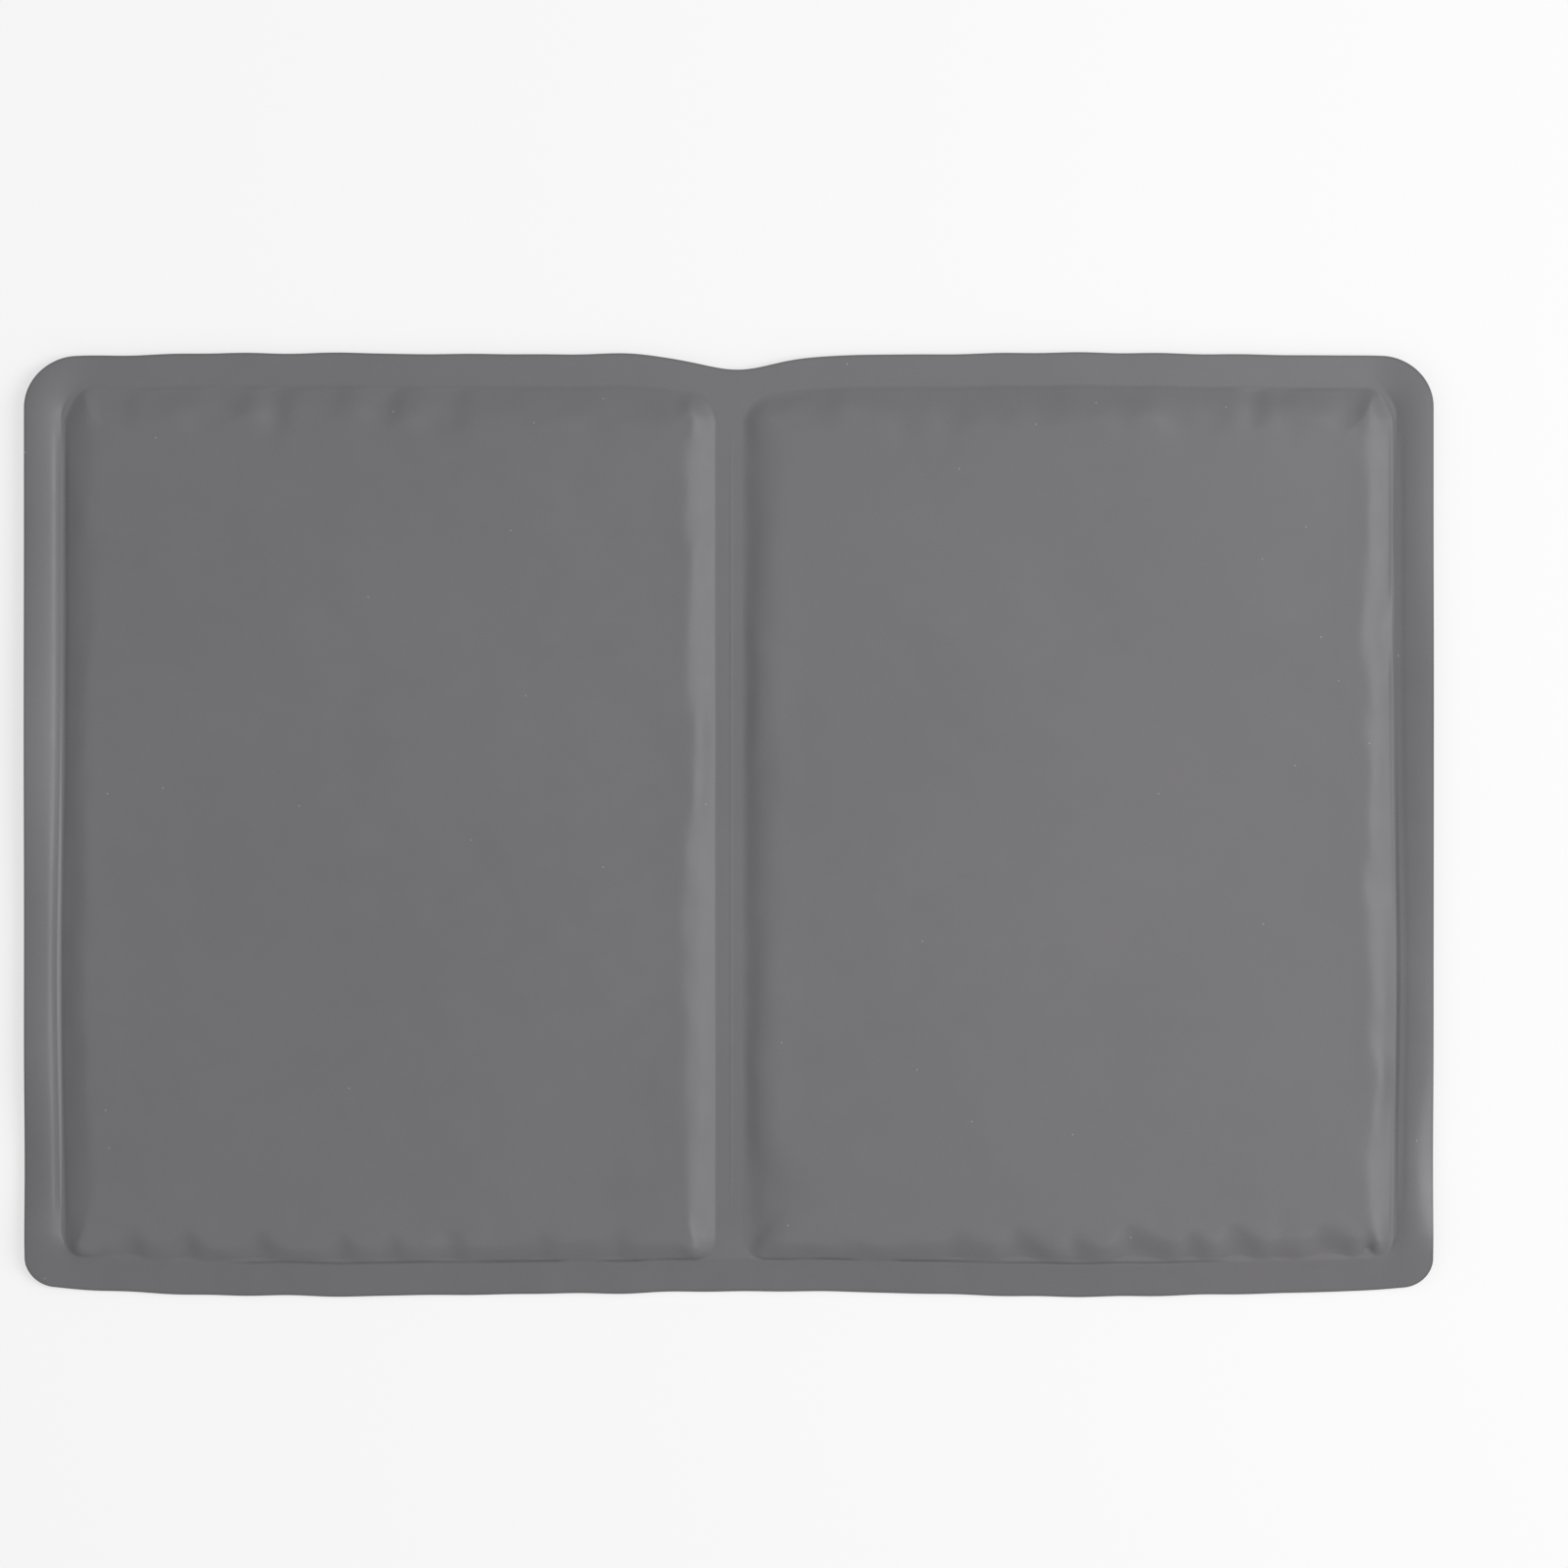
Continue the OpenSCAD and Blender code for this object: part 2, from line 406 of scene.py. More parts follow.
class ChamberSheet:
    """One half of a cover sheet, over one chamber: its form above the weld plane.

    side is 1 for the right panel and -1 for the left one, face 1 for the upper sheet and -1 for the
    lower one. folds give places where the sheet is gathered: side of the chamber, place along it,
    depth and half width. slack gives stretches where it is longer than its weld: side, middle, half
    length and share of the most slack. wave is the depth of the soft waves of the flat, and seed
    starts the draws of all its waves. pinches are small hollows: place, depth and half width.
    """

    def __init__(self, side, face, seed, wave, folds, slack, pinches=()):
        self.side, self.face, self.seed, self.wave = side, face, seed, wave
        self.folds, self.slack, self.pinches = folds, slack, pinches
        x, y = np.meshgrid(CLOTH_X, CLOTH_Y, indexing="ij")
        start = self.filled(x, y)
        gathers = self.gathers(x, y)
        inside = inside_weld(x, y)
        held = np.maximum(inside < HELD_WELD, eased((inside - HELD_FLAT) / HELD_REACH))
        started = np.maximum(start - FOLD_START * gathers, 0)
        self.relief = relaxed(x, y, started, held, self.slackness(x, y)) - start

    def filled(self, x, y):
        """Height of the evenly filled chamber: the shoulder's curve of the way climbed from the weld
        over a run. The way is the root of the sum of the squares of the distance inside and of the
        foot, less the foot. The run passes from side to side and waves a little. The right chamber's
        fold side has a soft shoulder: a step of one less the sum of 1, a share and half its square,
        times e to minus that share, and a long shoulder."""
        depth, along, weight = from_sides(x, y)
        inside = inside_weld(x, y)
        to_corner = depth["end"] if self.side > 0 else np.minimum(depth["fold"], depth["end"])
        shorter = 1 - CORNER_SHORTER * eased((CORNER_REACH - to_corner) / CORNER_BLEND)
        runs = {
            "fold": RUNS["fold"],
            "end": RUNS["end"] * self.pulled("end", along["end"]),
            "front": RUNS["front"] * shorter * self.pulled("front", along["front"]),
            "back": RUNS["back"] * shorter * self.pulled("back", along["back"]),
        }
        run = sum(weight[side] * runs[side] for side in runs)
        waves = ripples(x, y, RUN_WAVES, self.seed)
        climbed = np.hypot(np.maximum(inside, 0), FOOT) - FOOT
        height = shoulder(climbed / (run * (1 + waves)))
        widened = 1 + SLACK_CORNER_WIDER * slack_corner(y) + waves
        share = np.maximum(inside, 0) / (SOFT_FOLD * widened)
        step = 1 - (1 + share + share**2 / 2) * np.exp(-share)
        soft = SOFT_STEP * step + (1 - SOFT_STEP) * shoulder(inside / SOFT_RUN)
        height += self.softness(x, y) * (soft - height)
        return RISE * height

    def softness(self, x, y):
        """Share of the soft shoulder: the weight of the right chamber's fold side, and of its back
        side up to a distance from the fold. The left chamber has none."""
        depth, _, weight = from_sides(x, y)
        near_fold = eased((SOFT_BACK_END - depth["fold"]) / SOFT_BACK_FADE)
        return (weight["fold"] + weight["back"] * near_fold) * (self.side > 0)

    def pulled(self, side, place):
        """How much further the shoulder runs along a side: 1, and bells at the folds over it."""
        bells = (
            most * skewed(place - at, PULL_WIDER * wide)
            for way, at, most, wide in self.folds if way == side
        )
        return 1 + PULL * sum(bells)

    def gathers(self, x, y):
        """Depth of the folds: bells across the edge, times a hump over the shoulder that is 0 at the
        weld, fullest at FOLD_PEAK and fades over the flat."""
        depth, along, weight = from_sides(x, y)
        deep = np.zeros_like(x)
        for side, place, most, wide in self.folds:
            up = np.maximum(depth[side], 0) / FOLD_PEAK
            deep += most * skewed(along[side] - place, wide) * up * np.exp(1 - up) * weight[side]
        return deep

    def slackness(self, x, y):
        """Share of the most slack: bells along the edges that fade out over the shoulder."""
        depth, along, _ = from_sides(x, y)
        share = np.zeros_like(x)
        for side, middle, half, most in self.slack:
            fade = 1 - eased((depth[side] - SLACK_FULL) / SLACK_FADE)
            share = np.maximum(share, most * bell(along[side] - middle, half) * fade)
        return share

    def rise(self, x, y):
        """Height of the sheet's inner face above the weld: the filled chamber with the simulated
        relief, kept under the flat's height, less the soft waves of the flat."""
        inside = inside_weld(x, y)
        height = self.filled(x, y)
        start = RELIEF_START + RELIEF_SOFT_START * self.softness(x, y)
        height += between(self.relief, np.abs(x), y) * eased(inside / start)
        for at_x, at_y, deep, wide in self.pinches:
            height -= deep * bell(np.hypot(x - at_x, y - at_y), wide)
        height = kept_under(np.maximum(height, 0), RISE, FLAT_SOFT)
        flat = eased(inside / FLAT_START - 0.5)
        waves = ripples(x, y, FLAT_WAVES, self.seed + len(RUN_WAVES))
        return np.maximum(height - self.wave * flat * np.clip((1 + waves) / 2, 0, 1), 0)


# How far the rim sags at the back edge and at the front edge
BACK_SAG = 0.2 * MM
FRONT_SAG = 3.6 * MM
# Slope of an end's rim at its weld, and how much of it is lost across the rim: less at one stretch,
# and more at another, where the rim rolls over
END_CURL = 0.38
END_ROLL = 0.43
CURL_UP = 0.15
CURL_UP_AT = 45 * MM
CURL_UP_REACH = 50 * MM
CURL_OVER = 0.36
CURL_OVER_AT = -146 * MM
CURL_OVER_REACH = 32 * MM
# The rim passes from an end to a long side round a corner of this radius
RIM_CORNER = 12 * MM
# Flutter of the rim, which grows with a power of the way to its edge
FLUTTER = 0.2 * MM
FLUTTER_LENGTH = 75 * MM
FLUTTER_POWER = 1.5
FLUTTER_SEED = 11
# The bead outside an end weld, its least share along the other sides, and the groove beside it
BEAD = 0.14 * MM
BEAD_AT = 1.7 * MM
BEAD_WIDTH = 0.55 * MM
BEAD_LEAST = 0.15
BEAD_FADE = 15 * MM
GROOVE_AT = 3.9 * MM
GROOVE_WIDTH = 1.1 * MM
# The ridge along the fold band
WEB_LINE = 0.08 * MM
WEB_LINE_AT = 1.0 * MM
WEB_LINE_WIDTH = 0.45 * MM
WEB_LINE_FADE = 60 * MM
# The crease where a chamber meets its weld, and its strength at the back and the end
CREASE_DEPTH = 0.4 * MM
CREASE_WIDTH = 0.6 * MM
BACK_CREASE = 0.12
END_CREASE = 0.2
END_CREASE_WAVE = 0.1
END_CREASE_LENGTH = 60 * MM
END_CREASE_SEED = 12
# Strength of the crease at places along the front weld, from the fold out
FRONT_CREASE_AT = np.array([8, 14, 22, 33, 40, 50, 58, 68, 74, 98, 110, 128, 140, 160, 202, 214]) * MM
FRONT_CREASE = [0, 0.7, 0.9, 0.45, 1.0, 0.9, 0.2, 0.3, 1.0, 0.9, 0.5, 0.8, 0.9, 0.75, 0.65, 0]
# A mark that the welding bar left across the front rim
BAR_MARK = 0.07 * MM
BAR_MARK_AT = 221 * MM
BAR_MARK_WIDTH = 0.5 * MM
# Widths over which the marks of the weld and of the cut edge come in for the material
WELD_MARK = 1.2 * MM
EDGE_MARK = 0.6 * MM


def weld_form(x, y):
    """Form of the weld itself: the height of its middle plane, the relief of its face, and marks of
    where the weld, its crease and the cut edge lie.

    The rim sags towards the front and back edges and curls at the outer ends, by powers of the share
    of its width. A bead and a groove, two bells, follow the weld at the ends, a thin ridge runs
    along the fold band, and a crease, a narrow bell of its own strength on each side but the fold's,
    lies where a chamber meets its weld.
    """
    across = np.abs(x)
    inside = inside_weld(x, y)
    _, _, weight = from_sides(x, y)
    out = np.maximum(-inside, 0)
    to_end = np.maximum(across - END_WELD + RIM_CORNER, 0)
    to_long = np.maximum(np.abs(y) - LONG_WELD + RIM_CORNER, 0)
    end_part = to_end**2 / (to_end**2 + to_long**2 + TINY)
    rim = np.maximum(np.hypot(to_end, to_long) - RIM_CORNER, 0)
    end_share, long_share = rim / END_RIM, rim / LONG_RIM
    roll = END_ROLL - CURL_UP * bell(y - CURL_UP_AT, CURL_UP_REACH)
    roll += CURL_OVER * bell(y - CURL_OVER_AT, CURL_OVER_REACH)
    curl = END_RIM * (END_CURL * end_share - roll * end_share**2 / 2) * end_part
    sag = np.where(y > 0, BACK_SAG, FRONT_SAG) * long_share * (1 - end_part)
    flutter = FLUTTER * ripple(x, y, FLUTTER_LENGTH, FLUTTER_SEED)
    height = curl - sag + flutter * np.clip(long_share, 0, 1) ** FLUTTER_POWER

    bead = bell(out - BEAD_AT, BEAD_WIDTH) - bell(out - GROOVE_AT, GROOVE_WIDTH)
    straight = eased((LONG_WELD - TAPER_LENGTH - np.abs(y)) / BEAD_FADE)
    bead_share = BEAD_LEAST + (1 - BEAD_LEAST) * end_part * straight
    face = BEAD * bead * bead_share * (across > FOLD_WELD)
    web_line = bell(x - WEB_LINE_AT, WEB_LINE_WIDTH)
    web_line *= eased((LONG_WELD - np.abs(y)) / WEB_LINE_FADE)
    face += WEB_LINE * web_line * (inside < 0)
    face += BAR_MARK * bell(across - BAR_MARK_AT, BAR_MARK_WIDTH) * (y < 0) * eased(rim / MM)
    strength = {
        "end": END_CREASE + END_CREASE_WAVE * ripple(x, y, END_CREASE_LENGTH, END_CREASE_SEED),
        "back": BACK_CREASE,
        "front": np.interp(across, FRONT_CREASE_AT, FRONT_CREASE),
    }
    crease = bell(inside, CREASE_WIDTH) * sum(weight[side] * strength[side] for side in strength)
    face -= CREASE_DEPTH * crease

    edge_corner = np.where(y > 0, BACK_CORNER, FRONT_CORNER)
    edge = inside_distance(x, y, (-HALF_W, -HALF_D), (HALF_W, HALF_D), edge_corner)
    # The crease and edge marks also tell the material where to paint shade
    marks = {
        "weld": eased(-inside / WELD_MARK),
        "crease": crease,
        "edge": bell(np.maximum(edge, 0), EDGE_MARK),
    }
    return height, face, marks


def mark(piece, marks):
    """Writes grids of values, repeated for both faces of a sheet, as attributes of its points."""
    for name, values in marks.items():
        attribute = piece.data.attributes.new(name, "FLOAT", "POINT")
        attribute.data.foreach_set("value", np.tile(values.ravel(), 2).astype(np.float32))


def lay_flat(piece, x, y):
    """A UV map that holds each point's place on the flat sheet, in metres."""
    corners = np.zeros(len(piece.data.loops), np.int32)
    piece.data.loops.foreach_get("vertex_index", corners)
    place = np.tile(np.stack([x, y], -1).reshape(-1, 2), (2, 1))
    layer = piece.data.uv_layers.new(name="flat")
    layer.uv.foreach_set("vector", place[corners].astype(np.float32).ravel())


# Runs of grid lines from the fold to the outer end and from the front to the back: end and step
PANEL_ACROSS = (
    (8 * MM, 0.4 * MM), (24 * MM, 0.75 * MM), (262 * MM, 2 * MM), (278 * MM, 0.7 * MM),
    (291 * MM, 0.35 * MM), (HALF_W, 0.7 * MM),
)
PANEL_ALONG = (
    (-189 * MM, 0.8 * MM), (-183 * MM, 0.35 * MM), (-165 * MM, 0.8 * MM), (165 * MM, 6 * MM),
    (183 * MM, 0.9 * MM), (189 * MM, 0.5 * MM), (HALF_D, 0.8 * MM),
)


def panel_grid(side):
    """Plan grid of one panel from the middle of the fold to its outer end, fine at the fold, the
    welds and the edges. A side of -1 is the left panel. The outer corners are rounded."""
    across = grid_lines(0, *PANEL_ACROSS)
    across = across if side > 0 else -across[::-1]
    x, y = np.meshgrid(across, grid_lines(-HALF_D, *PANEL_ALONG), indexing="ij")
    x, y = corner_rounded(x, y, (side * HALF_W, HALF_D), (side, 1), BACK_CORNER)
    return corner_rounded(x, y, (side * HALF_W, -HALF_D), (side, -1), FRONT_CORNER)


def cover_half(name, sheet):
    """One half of a cover sheet, from the middle of the fold to its outer end. Its outer face is
    the weld plane plus the sheet's thickness and form, turned over for a lower sheet, and its
    inner face lies one thickness within, no further than the weld."""
    x, y = panel_grid(sheet.side)
    rise = sheet.rise(x, y)
    weld_height, relief, marks = weld_form(x, y)
    outer = SHEET + rise + relief
    inner = np.maximum(rise, WELD_GAP)
    middle = WELD_Z + weld_height
    heights = sorted(
        (middle + sheet.face * outer, middle + sheet.face * inner), key=np.mean, reverse=True
    )
    piece = closed_between(name, x, y - drawn_in(x, y), *heights)
    mark(piece, marks)
    lay_flat(piece, x, y)
    return piece


# Random folds: shares of a stretch between which one lies, and its depths and half widths in MM
LOOSE_PLACES = (0.2, 0.8)
LOOSE_DEPTHS = (0.2, 0.6)
LOOSE_WIDTHS = (3.5, 6)
# Start and end of the stretches along the front and the back that have such folds, and their number
LOOSE_FRONT = (40 * MM, 275 * MM, 8)
LOOSE_BACK = (90 * MM, 275 * MM, 5)


def scattered(seed, side, start, end, count):
    """Folds at random places along a side, one in each of its even stretches."""
    draw = np.random.default_rng(seed)
    places = start + (np.arange(count) + draw.uniform(*LOOSE_PLACES, count)) * (end - start) / count
    depths = draw.uniform(*LOOSE_DEPTHS, count) * MM
    widths = draw.uniform(*LOOSE_WIDTHS, count) * MM
    return list(zip([side] * count, places, depths, widths))


# Folds, slack and pinches of the upper right sheet, in the order that its class gives
UPPER_RIGHT_FOLDS = [
    ("front", 96 * MM, 0.45 * MM, 5 * MM),
    ("front", 123 * MM, 0.75 * MM, 6 * MM),
    ("front", 147 * MM, 0.4 * MM, 3.5 * MM),
    ("front", 171 * MM, 1.0 * MM, 6.5 * MM),
    ("front", 196 * MM, 0.55 * MM, 3.5 * MM),
    ("front", 214 * MM, 0.85 * MM, 5.5 * MM),
    ("front", 234 * MM, 0.5 * MM, 4.5 * MM),
    ("front", 253 * MM, 0.9 * MM, 6 * MM),
    ("front", 272 * MM, 1.1 * MM, 2.4 * MM),
    ("back", 223 * MM, 0.3 * MM, 5 * MM),
    ("back", 236 * MM, 0.25 * MM, 4 * MM),
    ("end", 80 * MM, 0.6 * MM, 6 * MM),
]
UPPER_RIGHT_SLACK = [
    ("front", 195 * MM, 95 * MM, 1.0),
    ("back", 236 * MM, 28 * MM, 0.7),
    ("end", 80 * MM, 20 * MM, 0.5),
]
UPPER_RIGHT_PINCHES = [(272.5 * MM, -181.5 * MM, 1.6 * MM, 2.2 * MM)]
# Slack of the other sheets
LOOSE_EDGES = [("front", 170 * MM, 110 * MM, 1.0), ("back", 190 * MM, 80 * MM, 0.6)]
# Depth of the flat's waves on top, and underneath, where the pad rests
TOP_WAVE = 0.4 * MM
REST_WAVE = 0.06 * MM


def loose_folds(seed):
    """Folds of a sheet that is gathered along its front and, less, along its back."""
    return scattered(seed, "front", *LOOSE_FRONT) + scattered(seed + 1, "back", *LOOSE_BACK)


sheets = {
    "upper_skin_right": ChamberSheet(
        side=1, face=1, seed=20, wave=TOP_WAVE,
        folds=UPPER_RIGHT_FOLDS, slack=UPPER_RIGHT_SLACK, pinches=UPPER_RIGHT_PINCHES,
    ),
    "upper_skin_left": ChamberSheet(
        side=-1, face=1, seed=40, wave=TOP_WAVE, folds=loose_folds(3), slack=LOOSE_EDGES
    ),
    "lower_skin_right": ChamberSheet(
        side=1, face=-1, seed=60, wave=REST_WAVE, folds=loose_folds(5), slack=LOOSE_EDGES
    ),
    "lower_skin_left": ChamberSheet(
        side=-1, face=-1, seed=80, wave=REST_WAVE, folds=loose_folds(7), slack=LOOSE_EDGES
    ),
}
covers = {name: cover_half(name, sheet) for name, sheet in sheets.items()}

# The filling: clearance of the gel to its sheet and to the foam
GEL_GAP = 0.2 * MM
# Steps across and along at which a gel looks for the lowest part of its sheet
GEL_LOOK_X = np.array([-3, -1.5, 0, 1.5, 3]) * MM
GEL_LOOK_Y = np.array([-1.5, 0, 1.5]) * MM
# The gel's pocket is wider than the foam by this much all round
POCKET_GAP = 1.2 * MM
# Where a sheet lies on its weld the gel is a film within the gap: heights of its two faces
FILM_INNER = WELD_GAP / 5
FILM_OUTER = WELD_GAP / 2
# Radius of the foam's rounded edges, and corner radii in plan
FOAM_EDGE = 1.5 * MM
FOAM_CORNER = 14 * MM
GEL_CORNER = 9 * MM
# A filling's grid is fine this far in from its edges
FINE_EDGE = 38 * MM
GEL_STEP = 1.5 * MM
FOAM_STEP = 0.8 * MM
FILLING_STEP = 6 * MM


def filling_grid(node, corner, fine):
    """Plan grid over a node's box, fine along its edges, with its four corners rounded."""
    low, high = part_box(node)
    lines = [
        grid_lines(
            low[i], (low[i] + FINE_EDGE, fine), (high[i] - FINE_EDGE, FILLING_STEP), (high[i], fine)
        )
        for i in (0, 1)
    ]
    x, y = np.meshgrid(*lines, indexing="ij")
    for way in ((-1, -1), (1, -1), (1, 1), (-1, 1)):
        at = tuple(high[i] if way[i] > 0 else low[i] for i in (0, 1))
        x, y = corner_rounded(x, y, at, way, corner)
    return x, y


def foam_half(x, y, node, grown=0.0):
    """Half the thickness of the foam slab over the plan, with its outline grown by a gap: full inside
    the outline, and down to 0 at it along a quarter of a round edge."""
    low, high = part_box(node)
    inside = inside_distance(x, y, [v - grown for v in low], [v + grown for v in high], FOAM_CORNER)
    share = np.clip(inside / FOAM_EDGE, 0, 1)
    return (high[2] - low[2]) / 2 * np.sqrt(1 - (1 - share) ** 2)


def gel_layer(name, node, foam, sheet):
    """Gel between a sheet and the foam: one face a gap below the lowest part of the sheet near
    each point, the other on the weld plane, with a pocket for half the foam."""
    x, y = filling_grid(node, GEL_CORNER, GEL_STEP)
    near = [(step_x, step_y) for step_x in GEL_LOOK_X for step_y in GEL_LOOK_Y]
    rise = np.min([sheet.rise(x + step_x, y + step_y) for step_x, step_y in near], axis=0)
    pocket = foam_half(x, y, foam, POCKET_GAP)
    inner = np.where(pocket > 0, pocket + GEL_GAP, FILM_INNER)
    outer = np.maximum(rise - GEL_GAP, np.where(pocket > 0, inner + GEL_GAP, FILM_OUTER))
    heights = sorted(
        (WELD_Z + sheet.face * outer, WELD_Z + sheet.face * inner), key=np.mean, reverse=True
    )
    return closed_between(name, x, y - drawn_in(x, y), *heights)


def foam_slab(name, node):
    """The foam slab: its half thickness above and below the weld plane."""
    x, y = filling_grid(node, FOAM_CORNER, FOAM_STEP)
    half = np.maximum(foam_half(x, y, node), WELD_GAP)
    return closed_between(name, x, y, WELD_Z + half, WELD_Z - half)


gels, foams = {}, {}
for hand in ("left", "right"):
    foams[hand] = foam_slab(f"foam_slab_{hand}", f"foam_core_{hand}")
    for layer in ("upper", "lower"):
        sheet = sheets[f"{layer}_skin_{hand}"]
        gels[layer, hand] = gel_layer(
            f"{layer}_gel_pad_{hand}", f"{layer}_gel_{hand}", f"foam_core_{hand}", sheet
        )


class Value:
    """A shader socket: Python's operators on it add Math nodes, and make() adds any other node."""

    def __init__(self, tree, socket=None):
        self.tree = tree
        self.socket = socket

    def make(self, kind, settings=None, sockets=None, output=0):
        """Adds a node: its settings first, then its sockets' values or links. Gives one output."""
        node = self.tree.nodes.new("ShaderNode" + kind)
        for key, value in (settings or {}).items():
            setattr(node, key, value)
        for key, value in (sockets or {}).items():
            self.put(node.inputs[key], value)
        return Value(self.tree, node.outputs[output])

    def put(self, socket, value):
        """Links a Value to a socket, or sets the socket to a number or colour."""
        if isinstance(value, Value):
            self.tree.links.new(value.socket, socket)
        else:
            socket.default_value = value

    def math(self, operation, first, second):
        """Adds a Math node on two Values or numbers."""
        return self.make("Math", {"operation": operation}, {0: first, 1: second})

    def __add__(self, other):
        return self.math("ADD", self, other)

    def __sub__(self, other):
        return self.math("SUBTRACT", self, other)

    def __rsub__(self, other):
        return self.math("SUBTRACT", other, self)

    def __mul__(self, other):
        return self.math("MULTIPLY", self, other)

    def __gt__(self, other):
        return self.math("GREATER_THAN", self, other)

    def __lt__(self, other):
        return self.math("LESS_THAN", self, other)

    __radd__ = __add__
    __rmul__ = __mul__


def shader(name):
    """A new material: it, a Value to make its nodes with, and its Principled shader's sockets."""
    material = bpy.data.materials.new(name)
    material.use_nodes = True
    principled = material.node_tree.nodes["Principled BSDF"]
    return material, Value(material.node_tree), principled.inputs


def tinted(maker, amount, first, second):
    """A colour between two others, by an amount of 0 to 1."""
    return maker.make(
        "Mix", {"data_type": "RGBA"}, {"Factor": amount, "A": first, "B": second}, "Result"
    )


def noise(maker, place, scale, detail=2, stretch=(1, 1, 1)):
    """Cloudy values of 0 to 1 about 0.5, so many to a metre, stretched along the place's axes."""
    stretched = maker.make("Mapping", {}, {"Vector": place, "Scale": stretch})
    return maker.make(
        "TexNoise", {}, {"Vector": stretched, "Scale": scale, "Detail": detail, "Roughness": 0.55}
    )


# Patterns of the coated fabric: how many to a metre, and how much longer a thread is than wide
CLOUDS = 9
MOTTLES = 75
GRAINS = 900
THREADS = 500
THREAD_LENGTH = 5
# Lint: cells to a metre, the share of them that holds a speck, and its size as a share of a cell
LINT_CELLS = 60
LINT_SHARE = 0.05
LINT_SIZE = 0.02
# Cells to a metre of the gel's bubbles and of the foam, and the size of a bubble and of a pit in one
GEL_CELLS = 220
BUBBLE_SIZE = 0.22
FOAM_CELLS = 700
PIT_SIZE = 0.3
# Colours of the coated fabric, the gel and the foam
COAT_DARK = (0.150, 0.147, 0.154, 1)
COAT_PALE = (0.176, 0.171, 0.180, 1)
# Painted shade for the creases and the cut edge
PAINTED_SHADE_TONE = (0.04, 0.039, 0.041, 1)
LINT_TONE = (0.5, 0.5, 0.5, 1)
GEL_DEEP = (0.20, 0.46, 0.62, 1)
GEL_PALE = (0.34, 0.60, 0.74, 1)
BUBBLE_TONE = (0.72, 0.86, 0.92, 1)
FOAM_DARK = (0.82, 0.76, 0.55, 1)
FOAM_PALE = (0.88, 0.83, 0.64, 1)
# Painted shade for the pits of the foam
PAINTED_PIT_SHADE = (0.45, 0.40, 0.27, 1)


def cover_material():
    """Coated fabric: matt dark grey, mottled, with the fine threads of its base showing through the
    coat, smoother where it is welded, with painted shade in the creases and at the cut edge, and
    with a little lint."""
    material, maker, sockets = shader("coated_fabric")
    flat = maker.make("UVMap", {"uv_map": "flat"})
    weld, crease, edge = (
        maker.make("Attribute", {"attribute_name": name}, output="Fac")
        for name in ("weld", "crease", "edge")
    )
    cloud = noise(maker, flat, CLOUDS, detail=3)
    mottle = noise(maker, flat, MOTTLES)
    grain = noise(maker, flat, GRAINS)
    warp = noise(maker, flat, THREADS, detail=1, stretch=(1, THREAD_LENGTH, 1))
    weft = noise(maker, flat, THREADS, detail=1, stretch=(THREAD_LENGTH, 1, 1))
    threads = warp * 0.5 + weft * 0.5

    cells = {"Vector": flat, "Scale": LINT_CELLS}
    near = maker.make("TexVoronoi", {"voronoi_dimensions": "2D"}, cells, "Distance")
    spot = maker.make("TexVoronoi", {"voronoi_dimensions": "2D"}, cells, "Position")
    chosen = maker.make("TexWhiteNoise", {"noise_dimensions": "2D"}, {"Vector": spot}, "Value")
    lint = (near < LINT_SIZE) * (chosen > 1 - LINT_SHARE)

    blend = 0.5 + 0.9 * (cloud - 0.5) + 0.5 * (mottle - 0.5)
    blend = blend + 0.5 * (grain - 0.5) + 0.5 * (threads - 0.5)
    shade = tinted(maker, blend, COAT_DARK, COAT_PALE)
    # Painted shade: the crease and edge marks darken the colour, for the shadow in the creases and at
    # the cut edge
    shade = tinted(maker, 0.5 * crease + 0.45 * edge, shade, PAINTED_SHADE_TONE)
    maker.put(sockets["Base Color"], tinted(maker, lint * 0.4, shade, LINT_TONE))
    maker.put(sockets["Roughness"], 0.47 - 0.1 * weld + 0.12 * (mottle - 0.5) + 0.1 * (grain - 0.5))
    sockets["Specular IOR Level"].default_value = 0.5
    height = threads * 0.5 + grain * 0.35 * (1 - 0.5 * weld) + lint * 0.5
    bump = maker.make("Bump", {}, {"Strength": 0.25, "Distance": 0.2 * MM, "Height": height}, "Normal")
    maker.put(sockets["Normal"], bump)
    return material


def gel_material():
    """Pale blue cooling gel: clouded, with small trapped bubbles, glossy and a little translucent."""
    material, maker, sockets = shader("cooling_gel")
    place = maker.make("TexCoord", {}, {}, "Object")
    cloud = noise(maker, place, 25, detail=3)
    near = maker.make("TexVoronoi", {}, {"Vector": place, "Scale": GEL_CELLS}, "Distance")
    bubble = near < BUBBLE_SIZE
    shade = tinted(maker, cloud, GEL_DEEP, GEL_PALE)
    maker.put(sockets["Base Color"], tinted(maker, bubble * 0.5, shade, BUBBLE_TONE))
    maker.put(sockets["Roughness"], 0.22 + 0.2 * cloud)
    sockets["Transmission Weight"].default_value = 0.25
    bump = maker.make("Bump", {}, {"Strength": 0.3, "Distance": 0.4 * MM, "Height": bubble}, "Normal")
    maker.put(sockets["Normal"], bump)
    return material


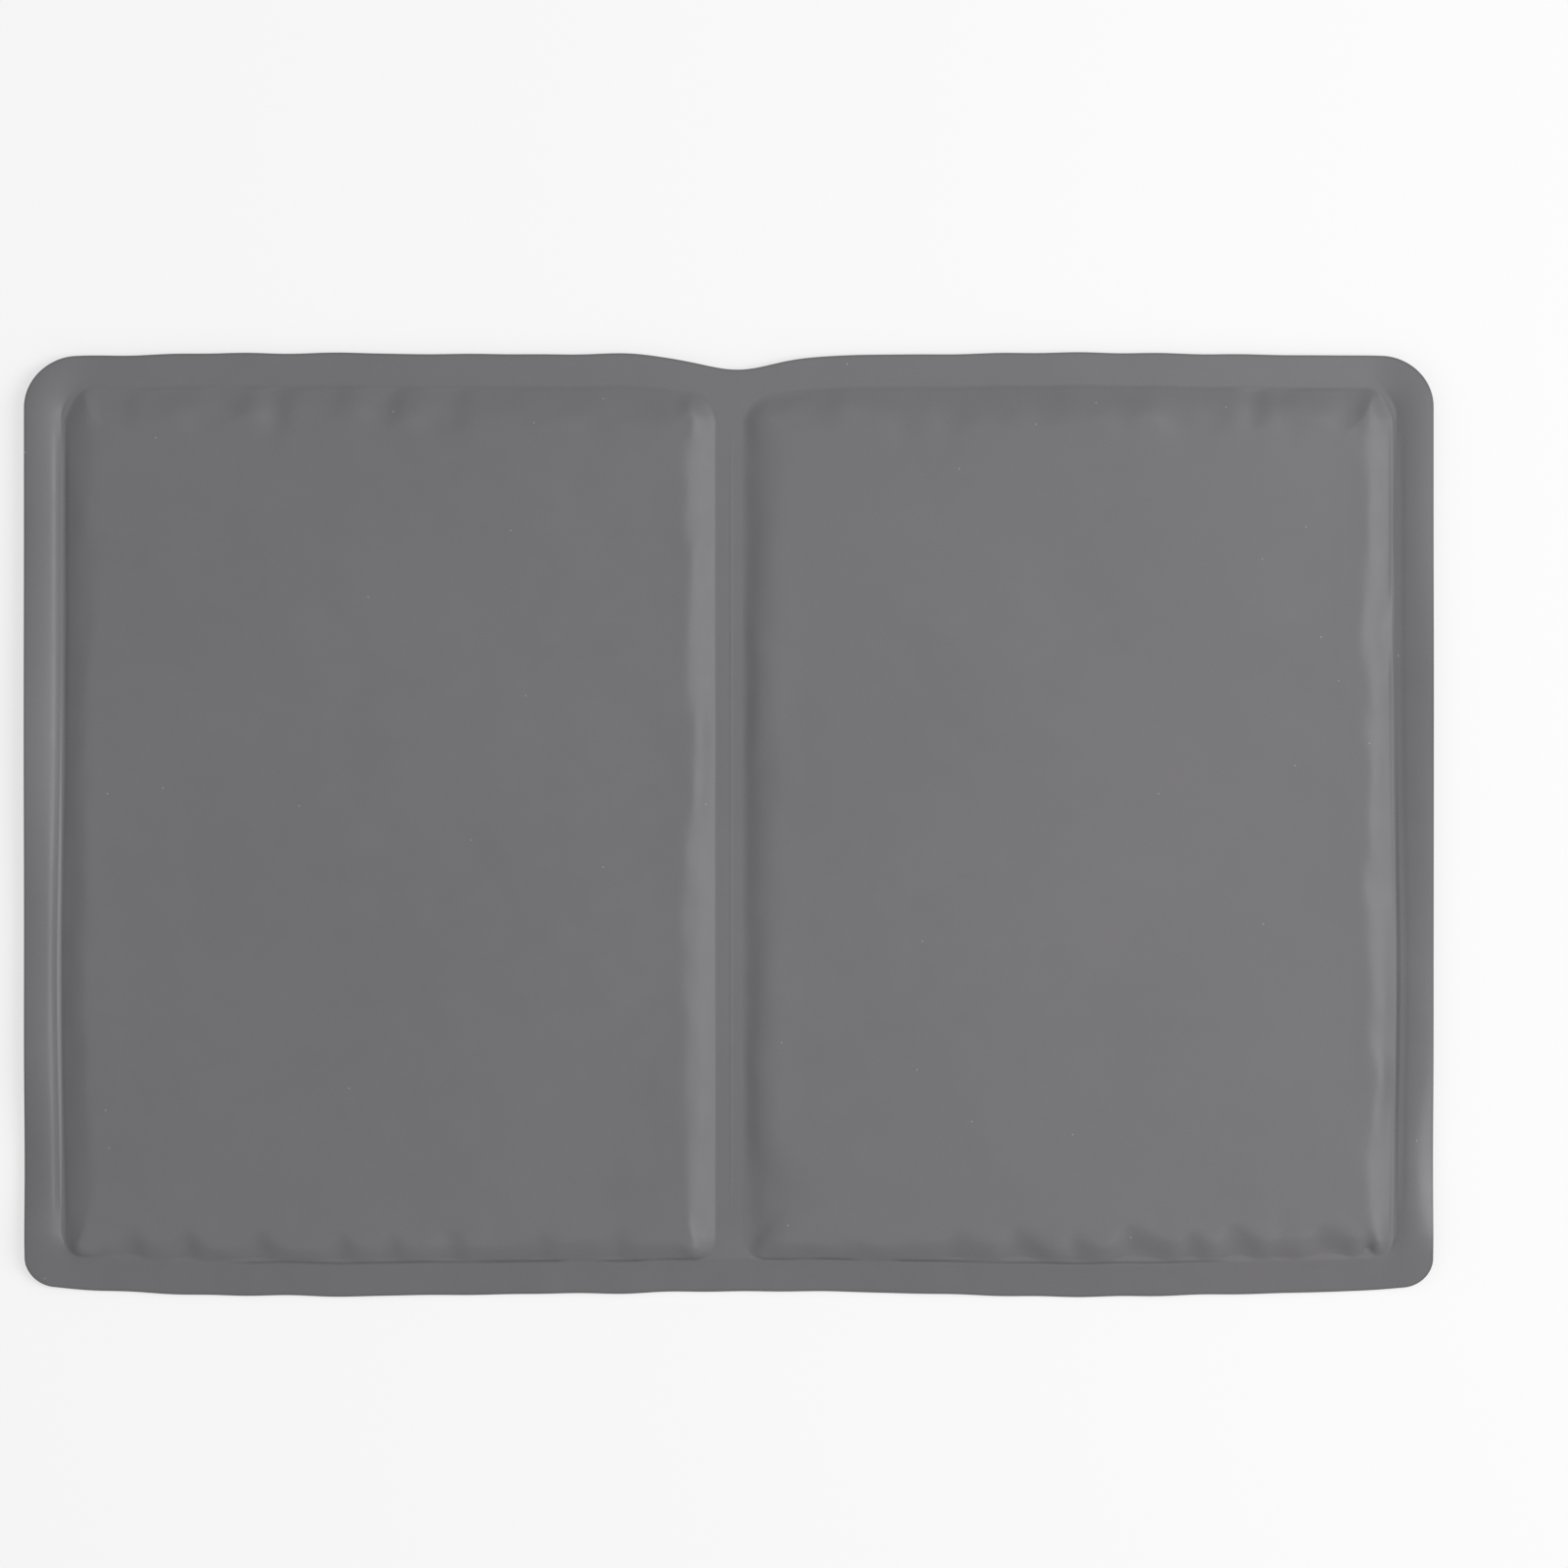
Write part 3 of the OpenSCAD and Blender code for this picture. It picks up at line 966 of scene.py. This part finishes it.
def foam_material():
    """Cream open-cell foam: painted shade in the pits between the cell walls, and a slightly uneven
    tone.
    """
    material, maker, sockets = shader("open_cell_foam")
    place = maker.make("TexCoord", {}, {}, "Object")
    cells = maker.make("TexVoronoi", {}, {"Vector": place, "Scale": FOAM_CELLS}, "Distance")
    cloud = noise(maker, place, 30)
    shade = tinted(maker, cloud, FOAM_DARK, FOAM_PALE)
    # Painted shade: the pits between the cell walls are darkened
    maker.put(sockets["Base Color"], tinted(maker, (cells < PIT_SIZE) * 0.5, shade, PAINTED_PIT_SHADE))
    maker.put(sockets["Roughness"], 0.88 + 0.1 * cloud)
    bump = maker.make("Bump", {}, {"Strength": 0.7, "Distance": 0.5 * MM, "Height": cells}, "Normal")
    maker.put(sockets["Normal"], bump)
    return material


# This much of the sheet on either side of a skin's crease, from which the span's ends are worked out
BEND = 2 * MM
fabric, gel_look, foam_look = cover_material(), gel_material(), foam_material()
for hand, (first, second, side) in {
    "left": ("left_panel", "fold_band", -1),
    "right": ("fold_band", "right_panel", 1),
}.items():
    for layer in ("upper", "lower"):
        cover, gel = covers[f"{layer}_skin_{hand}"], gels[layer, hand]
        cover.data.materials.append(fabric)
        start = (side * CREASE_X - BEND, 0, WELD_Z)
        end = (side * CREASE_X + BEND, 0, WELD_Z)
        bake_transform(cover)
        gel.data.materials.append(gel_look)
        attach(gel, f"{hand}_panel")
        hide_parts(f"{layer}_gel_{hand}")
    foam = foams[hand]
    foam.data.materials.append(foam_look)
    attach(foam, f"{hand}_panel")
    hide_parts(f"foam_core_{hand}")

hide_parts("upper_cover_left", "upper_fold_web")
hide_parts("lower_cover_left", "lower_fold_web")
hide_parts("upper_cover_right")
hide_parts("lower_cover_right")

# Half the floor's width, and the share of plain white that it shows: the rest is lit, for the shadow
FLOOR = 6.0
FLOOR_WHITE = 0.6
floor_points = np.array([(-1, -1, 0), (1, -1, 0), (1, 1, 0), (-1, 1, 0)]) * FLOOR
floor = put_mesh("floor", floor_points, [(0, 1, 2, 3)])
floor_material, maker, sockets = shader("pale_floor")
sockets["Base Color"].default_value = (0.96, 0.96, 0.96, 1)
sockets["Roughness"].default_value = 0.9
sockets["Specular IOR Level"].default_value = 0.1
seen = [
    maker.make("LightPath", output=f"Is {ray} Ray") for ray in ("Camera", "Glossy", "Transmission")
]
lit = Value(floor_material.node_tree, sockets["Base Color"].node.outputs[0])
white = maker.make("Emission", {}, {"Color": (1, 1, 1, 1), "Strength": 1})
share = FLOOR_WHITE * (seen[0] + seen[1] + seen[2])
shown = maker.make("MixShader", {}, {0: share, 1: lit, 2: white})
maker.put(floor_material.node_tree.nodes["Material Output"].inputs["Surface"], shown)
floor.data.materials.append(floor_material)


def soft_box(name, place, target, width, height, power):
    """A rectangular lamp at a place, turned to a target, that the camera doesn't see."""
    lamp = bpy.data.lights.new(name, "AREA")
    lamp.shape = "RECTANGLE"
    lamp.size, lamp.size_y = width, height
    lamp.energy = power
    box = bpy.data.objects.new(name, lamp)
    bpy.context.scene.collection.objects.link(box)
    box.location = place
    box.rotation_euler = (Vector(target) - Vector(place)).to_track_quat("-Z", "Y").to_euler()
    box.visible_camera = False


# Both lamps are turned to the middle of the pad
PAD = (0, 0, 0)
soft_box("key_light", place=(1.55, 0.15, 1.75), target=PAD, width=1.2, height=1.8, power=27.4)
soft_box("top_light", place=(0.2, 0.3, 2.4), target=PAD, width=0.5, height=0.5, power=1.4)

# Strength of the even light from all around
AROUND = 0.54
world = bpy.data.worlds.new("studio")
bpy.context.scene.world = world
world.use_nodes = True
around = world.node_tree.nodes["Background"]
around.inputs["Color"].default_value = (1, 1, 1, 1)
around.inputs["Strength"].default_value = AROUND

# The camera looks straight down on the pad's top: its height, the width and middle of what it sees
# there, and the width of its sensor in millimetres
CAMERA_HEIGHT = 3.0
VIEW_WIDTH = 0.667
VIEW_CENTRE = (0.0235, 0.0167)
SENSOR = 36
camera_data = bpy.data.cameras.new("camera")
camera_data.sensor_width = SENSOR
camera_data.lens = SENSOR * (CAMERA_HEIGHT - TOP_Z) / VIEW_WIDTH
camera = bpy.data.objects.new("camera", camera_data)
camera.location = (*VIEW_CENTRE, CAMERA_HEIGHT)
bpy.context.scene.collection.objects.link(camera)
bpy.context.scene.camera = camera
bpy.context.scene.view_settings.view_transform = "Standard"
